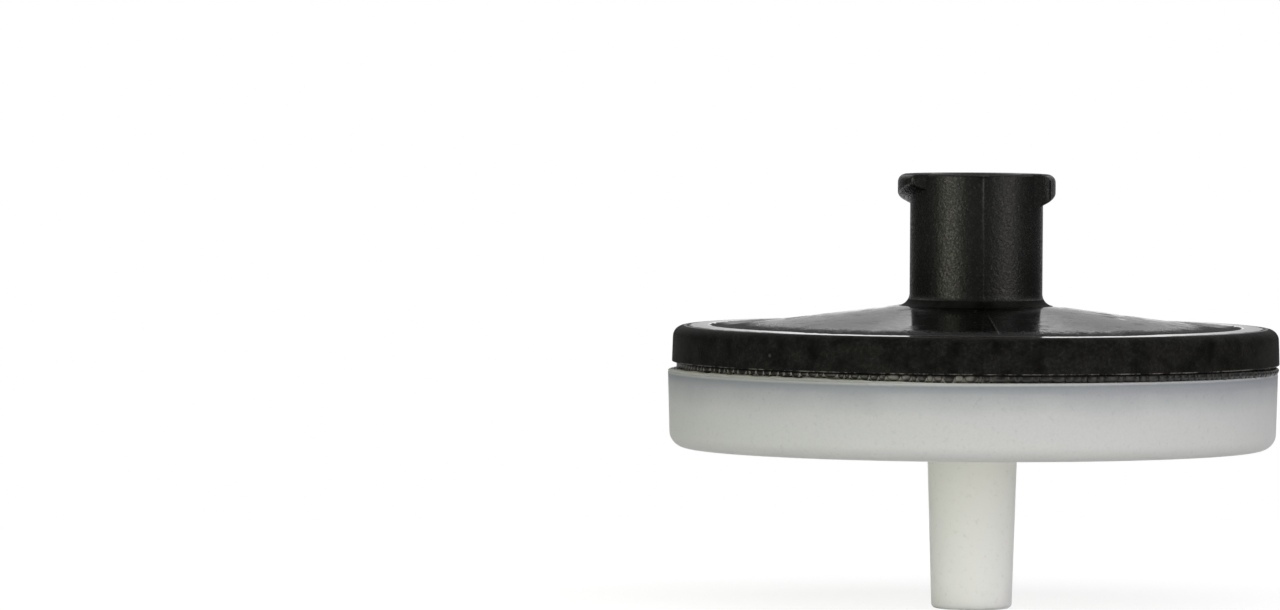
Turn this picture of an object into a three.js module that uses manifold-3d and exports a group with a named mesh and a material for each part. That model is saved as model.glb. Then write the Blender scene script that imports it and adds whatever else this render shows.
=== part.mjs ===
// A 30 mm syringe filter: a black inlet half with a female luer-lock hub and a natural outlet half with a
// male luer slip tip, welded together round a clamped membrane disc. Both halves are polypropylene.
// Millimetres, +Z up along the flow axis, the inlet on top. The origin is the centre of the outlet tip's
// end face.
import * as THREE from 'three';
import { mergeVertices } from 'three/addons/utils/BufferGeometryUtils.js';
import Module from 'manifold-3d';

const wasm = await Module();
wasm.setup();

const ROUND_SEGMENTS = 72;
const FILLET_STEPS = 4;
const degrees = THREE.MathUtils.degToRad;

// The luer standard's cone and thread, shared by the tip and the hub.
const LUER_TAPER = 0.06; // diameter lost per unit of length
const THREAD_LEAD = 5;
const THREAD_FLANK = degrees(27);

// Outlet half: tip
const TIP_END_DIAMETER = 3.93;
const TIP_LENGTH = 7.84;
const TIP_END_FILLET = 0.25;
const TIP_BORE_DIAMETER = 2.0; // at the tip's end
const TIP_BORE_TAPER = 0.05;

// Outlet half: disc
const DISC_DIAMETER = 29.84; // at the weld face
const DISC_HEIGHT = 3.78;
const DISC_DRAFT = degrees(1.6);
const DISC_CORNER_FILLET = 0.8;
const WELD_EDGE_FILLET = 0.15;
const DISC_WALL = 1.8;
const CAVITY_LEAD_IN = 0.15;
const FLOOR_THICKNESS = 1.3;

// Outlet half: what carries the membrane
const SUPPORT_HEIGHT = 0.9; // membrane above the floor
const SUPPORT_RING_WIDTH = 0.6;
const SUPPORT_RING_PITCH = 1.7;
const CHANNEL_COUNT = 8;
const CHANNEL_WIDTH = 1.0;
const CHANNEL_DEPTH = 0.2; // below the floor
const DRAIN_DIAMETER = 3.6;
const DRAIN_DEPTH = 0.6;
const LAND_OVERHANG = 0.25; // sealing land reaches in past the clamping ring

// Membrane
const MEMBRANE_THICKNESS = 0.2;
const MEMBRANE_EDGE_CLEARANCE = 0.6;

// Inlet half: joint and rim
const CLAMP_RING_CLEARANCE = 0.15;
const CLAMP_RING_WIDTH = 1.5;
const JOINT_GAP = 0.39; // open groove between the two rims, in which the weld shows
const JOINT_INSET = 0.29; // depth of that groove
const RIM_INSET = 0.06; // inlet rim against the outlet disc, on the radius
const RIM_HEIGHT = 1.8;
const RIM_DRAFT = degrees(1.8);
const RIM_FILLET = 0.55;
const RIM_FALL = 0.06; // the flat top is this much lower at its outside
const RIM_FLAT_INSET = 1.84; // from the disc's edge to the flat top's inner edge
const RIM_DIP_WIDTH = 0.6; // the shallow slope between the flat top and the cone's foot
const RIM_DIP = 0.125;

// Inlet half: cone and chamber
const CONE_SLOPE = 0.1296;
const ROOF_THICKNESS = 1.3;
const VANE_COUNT = 8;
const VANE_WIDTH = 0.7;
const VANE_CLEARANCE = 0.5; // above the membrane
const VANE_END_GAP = 0.8; // from the clamping ring

// Inlet half: hub
const HUB_DIAMETER = 6.5;
const HUB_HEIGHT = 7.46; // hub's top above the rim's flat
const HUB_TOP_FILLET = 0.12;
const HUB_FOOT_FILLET = 0.6;
const LUER_MOUTH_DIAMETER = 4.3;
const LUER_MOUTH_FILLET = 0.18;
const LUER_DEPTH = 7.6;

// Inlet half: thread lugs
const LUG_TURN = degrees(5.5); // direction of the lug pair from the X axis
const LUG_SPAN = 7.72; // over both lugs
const LUG_WIDTH = 3.9;
const LUG_MEAN_HEIGHT = 1.25; // hub's top to the thread flank at the lug's middle
const LUG_CORNER_FILLET = 0.35;
const LUG_EDGE_FILLET = 0.4;
const LUG_TIP_FILLET = 0.2;
const LUG_ROOT_DEPTH = 0.5; // how far a lug's root runs into the hub wall

// Inlet half: flow web at the bottom of the luer bore
const WEB_THICKNESS = 0.8;
const WEB_BOSS_WALL = 0.78;
const WEB_ARM_WIDTH = 0.8;
const WINDOW_COUNT = 4;
const WINDOW_EDGE = 0.15; // ledge left between the windows and the bore's wall

// Inlet half: four shallow round dimples in the cone, along a line parallel to the parting plane
const DIMPLE_DIAMETER = 0.75;
const DIMPLE_DEPTH = 0.12;
const DIMPLE_OFFSET = 6.25; // from the parting plane
const DIMPLE_ROW = [-3.5, -1.76, 0.27, 2.3];
const DIMPLE_TURN = LUG_TURN + degrees(1.1); // the parting plane is turned a little against the lugs

// Levels above the tip's end, and radii, that follow from the sizes above.
const discBottom = TIP_LENGTH;
const weldLevel = discBottom + DISC_HEIGHT;
const floorLevel = discBottom + FLOOR_THICKNESS;
const supportLevel = floorLevel + SUPPORT_HEIGHT;
const membraneTop = supportLevel + MEMBRANE_THICKNESS;
const rimBottom = weldLevel + JOINT_GAP;
const rimTop = rimBottom + RIM_HEIGHT;
const hubTop = rimTop + HUB_HEIGHT;
const luerBottom = hubTop - LUER_DEPTH;
const webBottom = luerBottom - WEB_THICKNESS;

const discRadius = DISC_DIAMETER / 2;
const cavityRadius = discRadius - DISC_WALL;
const membraneRadius = cavityRadius - MEMBRANE_EDGE_CLEARANCE;
const clampOuterRadius = cavityRadius - CLAMP_RING_CLEARANCE;
const clampInnerRadius = clampOuterRadius - CLAMP_RING_WIDTH;
const landInnerRadius = clampInnerRadius - LAND_OVERHANG;
const tipRadiusAt = (height) => (TIP_END_DIAMETER + LUER_TAPER * height) / 2;
const tipBoreRadiusAt = (height) => (TIP_BORE_DIAMETER + TIP_BORE_TAPER * height) / 2;
const drainRadius = DRAIN_DIAMETER / 2;

const rimRadius = discRadius - RIM_INSET;
const rimFlatRadius = discRadius - RIM_FLAT_INSET;
const coneFootRadius = rimFlatRadius - RIM_DIP_WIDTH;
const coneHeightAt = (radius) => rimTop - RIM_DIP + (coneFootRadius - radius) * CONE_SLOPE;
const roofHeightAt = (radius) => coneHeightAt(radius) - ROOF_THICKNESS;
const hubRadius = HUB_DIAMETER / 2;
const luerRadiusAt = (level) => (LUER_MOUTH_DIAMETER - LUER_TAPER * (hubTop - level)) / 2;
const webRadius = luerRadiusAt(luerBottom);
const bossRadius = webRadius + WEB_BOSS_WALL;

// An outline from [x, y, fillet] corners, each fillet an arc tangent to both of the corner's edges and no
// longer than half of the shorter edge.
function outline(corners) {
  const points = [];
  corners.forEach(([x, y, fillet = 0], index) => {
    const corner = new THREE.Vector2(x, y);
    if (fillet === 0) {
      points.push(corner);
      return;
    }
    const [before, after] = [corners.at(index - 1), corners[(index + 1) % corners.length]]
      .map(([nextX, nextY]) => new THREE.Vector2(nextX, nextY).sub(corner));
    const halfAngle = Math.abs(before.angleTo(after)) / 2;
    const room = Math.min(before.length(), after.length()) / 2;
    const radius = Math.min(fillet, room * Math.tan(halfAngle));
    const setback = radius / Math.tan(halfAngle);
    before.normalize();
    after.normalize();
    const centre = before.clone().add(after).setLength(radius / Math.sin(halfAngle)).add(corner);
    const from = before.multiplyScalar(setback).add(corner).sub(centre).angle();
    const to = after.multiplyScalar(setback).add(corner).sub(centre).angle();
    const sweep = Math.atan2(Math.sin(to - from), Math.cos(to - from));
    for (let step = 0; step <= FILLET_STEPS; step++) {
      const angle = from + (sweep * step) / FILLET_STEPS;
      points.push(new THREE.Vector2(Math.cos(angle), Math.sin(angle)).multiplyScalar(radius).add(centre));
    }
  });
  return points;
}

// A body turned about Z from [radius, height, fillet] corners, counter-clockwise round its section.
function turned(corners) {
  const points = outline(corners);
  const first = points[0];
  if (first.x > 0 || points.at(-1).x > 0) points.push(first.clone());
  return new THREE.LatheGeometry(points, ROUND_SEGMENTS).rotateX(Math.PI / 2);
}

// A geometry as a solid for cutting and joining.
function solid(geometry) {
  const bare = geometry.clone().deleteAttribute('normal').deleteAttribute('uv');
  const merged = mergeVertices(bare, 1e-4);
  const corners = merged.index.array;
  const triVerts = [];
  for (let i = 0; i < corners.length; i += 3) {
    const [a, b, c] = corners.slice(i, i + 3);
    if (a !== b && b !== c && c !== a) triVerts.push(a, b, c);
  }
  return new wasm.Manifold(new wasm.Mesh({
    numProp: 3,
    vertProperties: merged.attributes.position.array,
    triVerts: new Uint32Array(triVerts),
  }));
}

function geometryOf(shape) {
  const { vertProperties, triVerts } = shape.getMesh();
  const geometry = new THREE.BufferGeometry();
  geometry.setAttribute('position', new THREE.BufferAttribute(vertProperties, 3));
  geometry.setIndex(new THREE.BufferAttribute(triVerts, 1));
  geometry.computeVertexNormals();
  return geometry;
}

// A body through equal-sized closed loops of Vector3, capped at both ends. A loop runs clockwise when it
// is seen from the next one.
function lofted(loops) {
  const count = loops[0].length;
  const centroids = [loops[0], loops.at(-1)]
    .map((loop) => loop.reduce((sum, point) => sum.add(point), new THREE.Vector3()).divideScalar(count));
  const positions = [...loops.flat(), ...centroids].flatMap((point) => point.toArray());
  const index = [];
  const lastLoop = (loops.length - 1) * count;
  const firstCap = loops.length * count;
  for (let i = 0; i < count; i++) {
    const next = (i + 1) % count;
    for (let base = 0; base < lastLoop; base += count) {
      index.push(base + i, base + next, base + count + i);
      index.push(base + next, base + count + next, base + count + i);
    }
    index.push(firstCap, next, i);
    index.push(firstCap + 1, lastLoop + i, lastLoop + next);
  }
  const geometry = new THREE.BufferGeometry();
  geometry.setAttribute('position', new THREE.Float32BufferAttribute(positions, 3));
  geometry.setIndex(index);
  return geometry;
}

// Copies of a geometry turned about Z, evenly spaced from the start angle.
function ring(geometry, count, start) {
  return Array.from({ length: count }, (_, k) => geometry.clone().rotateZ(start + (2 * Math.PI * k) / count));
}

// One thread lug on the +X side: a flat-topped ear, straight-sided in plan, whose lower flank follows a
// right-hand helix and rises outwards. It is lofted across its width from upright sections.
function lug() {
  const outerRadius = LUG_SPAN / 2;
  const rootRadius = hubRadius - LUG_ROOT_DEPTH;
  const halfWidth = LUG_WIDTH / 2;
  const cornerStart = halfWidth - LUG_CORNER_FILLET;
  const reachAt = (y) => {
    const intoCorner = Math.max(Math.abs(y) - cornerStart, 0);
    const arc = Math.sqrt(outerRadius ** 2 - Math.min(Math.abs(y), cornerStart) ** 2);
    return arc - LUG_CORNER_FILLET + Math.sqrt(LUG_CORNER_FILLET ** 2 - intoCorner ** 2);
  };
  const flankAt = (x, y) => {
    const helix = (THREAD_LEAD * Math.atan2(y, x)) / (2 * Math.PI);
    const rise = Math.max(Math.hypot(x, y) - hubRadius, 0) * Math.tan(THREAD_FLANK);
    return hubTop - LUG_MEAN_HEIGHT + helix + rise;
  };
  const section = (y) => {
    const rootX = Math.sqrt(rootRadius ** 2 - y ** 2);
    const wallX = Math.sqrt(hubRadius ** 2 - y ** 2);
    const reach = reachAt(y);
    return outline([
      [rootX, flankAt(rootX, y)],
      [wallX, flankAt(wallX, y)],
      [reach, flankAt(reach, y), LUG_TIP_FILLET],
      [reach, hubTop, LUG_EDGE_FILLET],
      [rootX, hubTop],
    ]).map((point) => new THREE.Vector3(point.x, y, point.y));
  };
  const middle = [-1, -0.5, 0, 0.5, 1].map((share) => share * cornerStart);
  const corner = [0.3, 0.6, 0.87].map((share) => cornerStart + share * LUG_CORNER_FILLET);
  const stations = [...corner.map((y) => -y).reverse(), ...middle, ...corner];
  return lofted(stations.map(section).reverse());
}

// One window of the flow web, between two arms, pointing along +X.
function webWindow() {
  const outerRadius = webRadius - WINDOW_EDGE;
  const halfOpening = Math.PI / WINDOW_COUNT;
  const edgeAngle = halfOpening - Math.asin(WEB_ARM_WIDTH / 2 / outerRadius);
  const apex = WEB_ARM_WIDTH / 2 / Math.sin(halfOpening);
  const shape = new THREE.Shape();
  shape.moveTo(apex, 0);
  shape.lineTo(outerRadius * Math.cos(edgeAngle), -outerRadius * Math.sin(edgeAngle));
  shape.absarc(0, 0, outerRadius, -edgeAngle, edgeAngle, false);
  shape.closePath();
  const depth = 3 * WEB_THICKNESS;
  const cutter = new THREE.ExtrudeGeometry(shape, { depth, bevelEnabled: false, curveSegments: 6 });
  return cutter.translate(0, 0, webBottom - WEB_THICKNESS);
}

// One upright vane under the roof, along +X, buried in the roof and in the boss round the web.
function vane() {
  const inner = bossRadius - WEB_BOSS_WALL / 2;
  const outer = clampInnerRadius - VANE_END_GAP;
  const bottom = membraneTop + VANE_CLEARANCE;
  const buried = ROOF_THICKNESS / 2;
  const side = new THREE.Shape([
    new THREE.Vector2(inner, bottom),
    new THREE.Vector2(outer, bottom),
    new THREE.Vector2(outer, roofHeightAt(outer) + buried),
    new THREE.Vector2(inner, roofHeightAt(inner) + buried),
  ]);
  return new THREE.ExtrudeGeometry(side, { depth: VANE_WIDTH, bevelEnabled: false })
    .translate(0, 0, -VANE_WIDTH / 2)
    .rotateX(Math.PI / 2);
}

// What cuts one dimple: a flattened ball with its equator in the cone's surface.
function dimple(y) {
  const ball = new THREE.SphereGeometry(DIMPLE_DIAMETER / 2, 12, 8).rotateX(Math.PI / 2);
  ball.scale(1, 1, DIMPLE_DEPTH / (DIMPLE_DIAMETER / 2));
  ball.rotateY(Math.atan(CONE_SLOPE));
  ball.translate(Math.hypot(DIMPLE_OFFSET, y), 0, coneHeightAt(Math.hypot(DIMPLE_OFFSET, y)));
  return ball.rotateZ(Math.atan2(y, DIMPLE_OFFSET) + DIMPLE_TURN);
}

function inletHousing() {
  const rimTopRadius = rimRadius - RIM_HEIGHT * Math.tan(RIM_DRAFT);
  let body = solid(turned([
    [0, webBottom],
    [bossRadius, webBottom],
    [bossRadius, roofHeightAt(bossRadius)],
    [clampInnerRadius, roofHeightAt(clampInnerRadius)],
    [clampInnerRadius, membraneTop],
    [clampOuterRadius, membraneTop],
    [clampOuterRadius, weldLevel],
    [discRadius - JOINT_INSET, weldLevel],
    [discRadius - JOINT_INSET, rimBottom],
    [rimRadius, rimBottom],
    [rimTopRadius, rimTop - RIM_FALL, RIM_FILLET],
    [rimFlatRadius, rimTop],
    [coneFootRadius, coneHeightAt(coneFootRadius)],
    [hubRadius, coneHeightAt(hubRadius), HUB_FOOT_FILLET],
    [hubRadius, hubTop, HUB_TOP_FILLET],
    [luerRadiusAt(hubTop), hubTop, LUER_MOUTH_FILLET],
    [webRadius, luerBottom],
    [0, luerBottom],
  ]));
  for (const piece of ring(lug(), 2, LUG_TURN)) body = body.add(solid(piece));
  const firstVane = LUG_TURN + Math.PI / VANE_COUNT;
  for (const piece of ring(vane(), VANE_COUNT, firstVane)) body = body.add(solid(piece));
  for (const y of DIMPLE_ROW) body = body.subtract(solid(dimple(y)));
  for (const piece of ring(webWindow(), WINDOW_COUNT, LUG_TURN)) body = body.subtract(solid(piece));
  return geometryOf(body);
}

// Corners of the support rings' section, from the sealing land inwards to the drain.
function supportRings() {
  const corners = [];
  let outer = landInnerRadius - (SUPPORT_RING_PITCH - SUPPORT_RING_WIDTH);
  while (outer - SUPPORT_RING_WIDTH > drainRadius) {
    const inner = outer - SUPPORT_RING_WIDTH;
    corners.push([outer, floorLevel], [outer, supportLevel], [inner, supportLevel], [inner, floorLevel]);
    outer -= SUPPORT_RING_PITCH;
  }
  return corners;
}

function outletHousing() {
  const discBottomRadius = discRadius - DISC_HEIGHT * Math.tan(DISC_DRAFT);
  let body = solid(turned([
    [tipBoreRadiusAt(0), 0],
    [tipRadiusAt(0), 0, TIP_END_FILLET],
    [tipRadiusAt(discBottom), discBottom],
    [discBottomRadius, discBottom, DISC_CORNER_FILLET],
    [discRadius, weldLevel, WELD_EDGE_FILLET],
    [cavityRadius + CAVITY_LEAD_IN, weldLevel],
    [cavityRadius, weldLevel - CAVITY_LEAD_IN],
    [cavityRadius, supportLevel],
    [landInnerRadius, supportLevel],
    [landInnerRadius, floorLevel],
    ...supportRings(),
    [drainRadius, floorLevel],
    [tipBoreRadiusAt(floorLevel - DRAIN_DEPTH), floorLevel - DRAIN_DEPTH],
  ]));
  const channelLength = landInnerRadius - drainRadius / 2;
  const channel = new THREE.BoxGeometry(channelLength, CHANNEL_WIDTH, CHANNEL_DEPTH + 2 * SUPPORT_HEIGHT)
    .translate(landInnerRadius - channelLength / 2, 0, floorLevel - CHANNEL_DEPTH / 2 + SUPPORT_HEIGHT);
  for (const piece of ring(channel, CHANNEL_COUNT, 0)) body = body.subtract(solid(piece));
  return geometryOf(body);
}

function membrane() {
  return new THREE.CylinderGeometry(membraneRadius, membraneRadius, MEMBRANE_THICKNESS, ROUND_SEGMENTS)
    .rotateX(Math.PI / 2)
    .translate(0, 0, supportLevel + MEMBRANE_THICKNESS / 2);
}

const blackPlastic = new THREE.MeshStandardMaterial({ color: 0x161614, roughness: 0.45, metalness: 0 });
const naturalPlastic = new THREE.MeshStandardMaterial({ color: 0xd6d8d2, roughness: 0.4, metalness: 0 });
const filterPaper = new THREE.MeshStandardMaterial({ color: 0xf1efe6, roughness: 0.9, metalness: 0 });

const filter = new THREE.Group();
for (const [name, geometry, material] of [
  ['outlet_housing', outletHousing(), naturalPlastic],
  ['membrane', membrane(), filterPaper],
  ['inlet_housing', inletHousing(), blackPlastic],
]) {
  const mesh = new THREE.Mesh(geometry, material);
  mesh.name = name;
  filter.add(mesh);
}

export default filter;
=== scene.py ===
"""The looks of a 30 mm syringe filter: a black inlet half with a luer-lock hub, a natural white outlet half
with a luer slip tip, the lumpy bead squeezed out of the weld between them, and the membrane inside.

Shapes are made in millimetres and scaled to metres when they become meshes. +Z is up along the flow axis
and the camera looks along +Y.
"""
import math
import random

import bmesh
import bpy
import numpy as np
from mathutils import Euler, Matrix, Vector

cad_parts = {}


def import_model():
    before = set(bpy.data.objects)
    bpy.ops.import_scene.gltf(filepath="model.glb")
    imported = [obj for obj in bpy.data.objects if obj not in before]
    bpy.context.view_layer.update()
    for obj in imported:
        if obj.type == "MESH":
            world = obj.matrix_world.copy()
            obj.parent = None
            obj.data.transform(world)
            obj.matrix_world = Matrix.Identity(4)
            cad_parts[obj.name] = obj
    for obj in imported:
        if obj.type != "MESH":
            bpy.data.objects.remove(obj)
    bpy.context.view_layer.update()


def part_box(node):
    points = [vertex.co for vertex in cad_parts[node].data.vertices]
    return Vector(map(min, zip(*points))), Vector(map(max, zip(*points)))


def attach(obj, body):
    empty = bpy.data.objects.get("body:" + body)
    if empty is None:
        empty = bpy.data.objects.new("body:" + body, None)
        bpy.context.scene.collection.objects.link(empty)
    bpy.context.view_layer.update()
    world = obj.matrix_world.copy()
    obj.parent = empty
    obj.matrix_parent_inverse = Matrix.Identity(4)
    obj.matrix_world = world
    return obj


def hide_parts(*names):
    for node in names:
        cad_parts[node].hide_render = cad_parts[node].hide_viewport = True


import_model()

MM = 0.001

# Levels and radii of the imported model, in millimetres.
OUTLET_LOW, OUTLET_HIGH = (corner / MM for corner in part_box("outlet_housing"))
INLET_LOW, INLET_HIGH = (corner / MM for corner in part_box("inlet_housing"))
MEMBRANE_LOW, MEMBRANE_HIGH = (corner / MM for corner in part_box("membrane"))
TIP_END = OUTLET_LOW.z
WELD_LEVEL = OUTLET_HIGH.z
DISC_RADIUS = OUTLET_HIGH.x
HUB_TOP = INLET_HIGH.z
MEMBRANE_TOP = INLET_LOW.z
SUPPORT_LEVEL = MEMBRANE_LOW.z
MEMBRANE_RADIUS = MEMBRANE_HIGH.x

# Outlet half
TIP_LENGTH = 7.84
TIP_END_RADIUS = 1.965
TIP_END_FILLET = 0.25
TIP_TAPER = 0.03  # radius gained per unit of height
TIP_BORE_RADIUS = 1.0
TIP_BORE_TAPER = 0.025
DISC_BOTTOM = TIP_END + TIP_LENGTH
DISC_DRAFT = math.radians(1.6)
DISC_CORNER_FILLET = 0.8
WELD_EDGE_FILLET = 0.15
WELD_OFFSET = 0.13  # the halves are welded this much out of line ...
WELD_TILT = math.radians(-0.1)  # ... and this much out of true
FACE_SINK = 0.03  # keeps the weld's two faces off each other inside the neck
FACE_SLANT = 0.06  # width of the slope down to it
# Lift of the ledge's lip over the azimuth in degrees
WELD_LIP = ((-180, 0.03), (-168, 0.12), (-120, 0.12), (-108, 0.06), (-95, 0), (120, 0), (180, 0.03))
CAVITY_RADIUS = MEMBRANE_RADIUS + 0.6
CAVITY_CHAMFER = 0.15
FLOOR_LEVEL = SUPPORT_LEVEL - 0.9
RING_WIDTH = 0.6
RING_PITCH = 1.7
CHANNEL_COUNT = 8
CHANNEL_WIDTH = 1.0
CHANNEL_DEPTH = 0.2
DRAIN_RADIUS = 1.8
DRAIN_DEPTH = 0.6
MEMBRANE_FILLET = 0.04

# Inlet half: clamp, joint and rim
CLAMP_OUTER_RADIUS = CAVITY_RADIUS - 0.15
CLAMP_INNER_RADIUS = CLAMP_OUTER_RADIUS - 1.5
LAND_INNER_RADIUS = CLAMP_INNER_RADIUS - 0.25
NECK_RADIUS = DISC_RADIUS - 0.29
RIM_BOTTOM = WELD_LEVEL + 0.39
RIM_TOP = RIM_BOTTOM + 1.8
RIM_RADIUS = DISC_RADIUS - 0.06
RIM_DRAFT = math.radians(1.8)
RIM_FILLET = 0.55
RIM_FALL = 0.06  # the rim's flat is this much lower at its outside
RIM_EDGE_FILLET = 0.05
RIM_FLAT_RADIUS = DISC_RADIUS - 1.84
RIM_FLAT_FILLET = 0.12
ROUNDING_RADIUS = RIM_RADIUS - RIM_FILLET - 0.02
CONE_FOOT_RADIUS = RIM_FLAT_RADIUS - 0.6
CONE_FOOT_LEVEL = RIM_TOP - 0.125
CONE_FOOT_FILLET = 0.3
CONE_SLOPE = 0.1296
ROOF_THICKNESS = 1.3

# Inlet half: hub, luer cone, web and vanes
HUB_RADIUS = 3.25
HUB_TOP_FILLET = 0.12
HUB_FOOT_FILLET = 0.6
MOUTH_RADIUS = 2.15
MOUTH_FILLET = 0.18
LUER_DEPTH = 7.6
LUER_TAPER = 0.03
LUER_BOTTOM = HUB_TOP - LUER_DEPTH
WEB_RADIUS = MOUTH_RADIUS - LUER_TAPER * LUER_DEPTH
WEB_BOTTOM = LUER_BOTTOM - 0.8
WEB_ARM_WIDTH = 0.8
WINDOW_COUNT = 4
WINDOW_EDGE = 0.15
BOSS_RADIUS = WEB_RADIUS + 0.78
VANE_COUNT = 8
VANE_WIDTH = 0.7
VANE_ROOT = 0.39  # how far a vane's inner end is sunk into the boss
VANE_END_GAP = 0.8
VANE_LIFT = 0.5  # above the membrane

# Inlet half: thread lugs
LUG_TURN = math.radians(5.5)
LUG_REACH = 3.86
LUG_HALF_WIDTH = 1.95
LUG_MEAN_HEIGHT = 1.25
LUG_CORNER_FILLET = 0.35
LUG_EDGE_FILLET = 0.4
LUG_TIP_FILLET = 0.2
LUG_ROOT_DEPTH = 0.5
LUG_TOP = HUB_TOP - 0.02
LUG_ARC_STEPS = 8
LUG_STATIONS = 17
LUG_CORNER_TURNS = np.radians((12, 24, 36, 48, 58, 67))
THREAD_LEAD = 5.0
THREAD_FLANK = math.radians(27)

# Marks of the mould: dimples, parting line and a nib on the hub's top edge
DIMPLE_DEPTH = 0.03
DIMPLE_CUTTER = (0.6, 0.6, 0.1)
DIMPLE_OFFSET = 6.25
DIMPLE_ROW = (-3.5, -1.76, 0.27, 2.3)
MOULD_TURN = LUG_TURN + math.radians(1.1)
PARTING_AZIMUTHS = (MOULD_TURN - math.radians(91), MOULD_TURN + math.radians(89))
PARTING_HEIGHT = 0.045
PARTING_WIDTH = 0.04  # standard deviation of the ridge's section
PARTING_REACH = math.radians(20)  # farther from its azimuth the ridge is nil
PARTING_ON_HUB = 0.3  # share of its height on the hub's side
PARTING_END_RADIUS = RIM_FLAT_RADIUS - 1.6
NIB_AZIMUTH = math.radians(-84)
NIB_SIZE = (0.24, 0.14, 0.08)

# Where the inlet half's finishes change
SANDED_START = CONE_FOOT_RADIUS - 2.06
SANDED_END = CONE_FOOT_RADIUS - 0.76
BURNISHED_START = RIM_FLAT_RADIUS - 0.10
BURNISHED_END = ROUNDING_RADIUS - 0.27
BURNISHED_NARROWING = 0.5  # how much later the burnished ring starts in front
ROUNDING_START = ROUNDING_RADIUS - 0.22

# Mesh fineness
COLUMNS = 384
FINE_COLUMNS = 9  # on either side of a parting line
FINE_COLUMN_STEP = math.radians(0.22)
ARC_STEP = math.radians(9)
GUARD = 0.04  # distance of the extra point that keeps a flat's shading flat beside a fillet
LONGEST_EDGE = 0.9


def cone_level(radius):
    return CONE_FOOT_LEVEL + (CONE_FOOT_RADIUS - radius) * CONE_SLOPE


# ---------------------------------------------------------------- meshes

def rounded(corners, arc_steps=None):
    """Points through (x, y) or (x, y, fillet) corners, with an arc for each fillet. With arc_steps, every
    arc has that many steps, so that sections of one body match."""
    points = []
    for index, (x, y, *fillet) in enumerate(corners):
        corner = Vector((x, y))
        if not fillet:
            points.append(corner)
            continue
        before = Vector(corners[index - 1][:2]) - corner
        after = Vector(corners[(index + 1) % len(corners)][:2]) - corner
        room = min(before.length, after.length) / 2
        half_angle = before.angle(after) / 2
        radius = min(fillet[0], room * math.tan(half_angle))
        setback = radius / math.tan(half_angle)
        before.normalize()
        after.normalize()
        centre = corner + (before + after).normalized() * (radius / math.sin(half_angle))
        spokes = [corner + edge * setback - centre for edge in (before, after)]
        start, end = (math.atan2(spoke.y, spoke.x) for spoke in spokes)
        sweep = (end - start + math.pi) % (2 * math.pi) - math.pi
        steps = arc_steps or max(2, round(abs(sweep) / ARC_STEP))
        guarded = not arc_steps and setback + GUARD < room
        if guarded:
            points.append(corner + before * (setback + GUARD))
        for step in range(steps + 1):
            angle = start + sweep * step / steps
            points.append(centre + radius * Vector((math.cos(angle), math.sin(angle))))
        if guarded:
            points.append(corner + after * (setback + GUARD))
    return points


def divided(points, closed):
    """The same line with points added where an edge is longer than LONGEST_EDGE."""
    result = []
    for index, point in enumerate(points):
        result.append(point)
        if index + 1 == len(points) and not closed:
            break
        following = points[(index + 1) % len(points)]
        pieces = math.ceil((following - point).length / LONGEST_EDGE)
        result += [point.lerp(following, k / pieces) for k in range(1, pieces)]
    return result


def column_azimuths(fine_at=()):
    """Azimuths of a turned body's columns, with finer ones beside each azimuth of fine_at."""
    azimuths = {round(2 * math.pi * k / COLUMNS, 6) for k in range(COLUMNS)}
    for centre in fine_at:
        for k in range(-FINE_COLUMNS, FINE_COLUMNS + 1):
            azimuths.add(round((centre + k * FINE_COLUMN_STEP) % (2 * math.pi), 6))
    kept = []
    for azimuth in sorted(azimuths):
        if not kept or azimuth - kept[-1] > FINE_COLUMN_STEP / 3:
            kept.append(azimuth)
    return np.array(kept)


def linked(name, data):
    """A new object in the scene that holds the data."""
    made = bpy.data.objects.new(name, data)
    bpy.context.scene.collection.objects.link(made)
    return made


def object_from(name, vertices, faces):
    """An object in the scene from millimetre vertices."""
    mesh = bpy.data.meshes.new(name)
    mesh.from_pydata([tuple(co) for co in np.asarray(vertices) * MM], [], faces)
    mesh.update()
    return linked(name, mesh)


def object_of(name, shape):
    """An object in the scene from a bmesh, which it frees."""
    mesh = bpy.data.meshes.new(name)
    shape.to_mesh(mesh)
    shape.free()
    return linked(name, mesh)


def turned(name, corners, azimuths, relief=None):
    """A closed body turned about Z from section corners that run counter-clockwise. It closes on itself, or
    it starts and ends on the axis. relief(radius, height, azimuth) moves the surface out along its
    normal."""
    solid_core = corners[0][0] == 0
    section = np.array(divided(rounded(corners), not solid_core))
    radius, height = section.T
    along = np.roll(section, -1, axis=0) - np.roll(section, 1, axis=0)
    normal = np.stack([along[:, 1], -along[:, 0]], axis=1)
    normal /= np.linalg.norm(normal, axis=1)[:, None]
    r, z, a = (np.broadcast_to(x, (len(section), len(azimuths))) for x in (
        radius[:, None], height[:, None], azimuths[None, :]))
    lift = relief(r, z, a) if relief else np.zeros(r.shape)
    r = r + lift * normal[:, :1]
    z = z + lift * normal[:, 1:]
    vertices = np.stack([r * np.cos(a), r * np.sin(a), z], axis=2).reshape(-1, 3)
    count = len(azimuths)
    first, last = (1, len(section) - 2) if solid_core else (0, len(section) - 1)
    faces = []
    rows = [(i, i + 1) for i in range(first, last)] + ([] if solid_core else [(last, first)])
    for low, high in rows:
        for k in range(count):
            following = (k + 1) % count
            faces.append((low * count + k, low * count + following,
                          high * count + following, high * count + k))
    if solid_core:
        for row, pole, flip in ((first, 0, False), (last, (len(section) - 1) * count, True)):
            for k in range(count):
                ring_edge = (row * count + (k + 1) % count, row * count + k)
                faces.append((pole, *(ring_edge[::-1] if flip else ring_edge)))
    body = object_from(name, vertices, faces)
    drop_loose(body)
    return body


def drop_loose(body):
    """Removes vertices that no face uses."""
    shape = bmesh.new()
    shape.from_mesh(body.data)
    bmesh.ops.delete(shape, geom=[v for v in shape.verts if not v.link_faces], context="VERTS")
    shape.to_mesh(body.data)
    shape.free()


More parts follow.
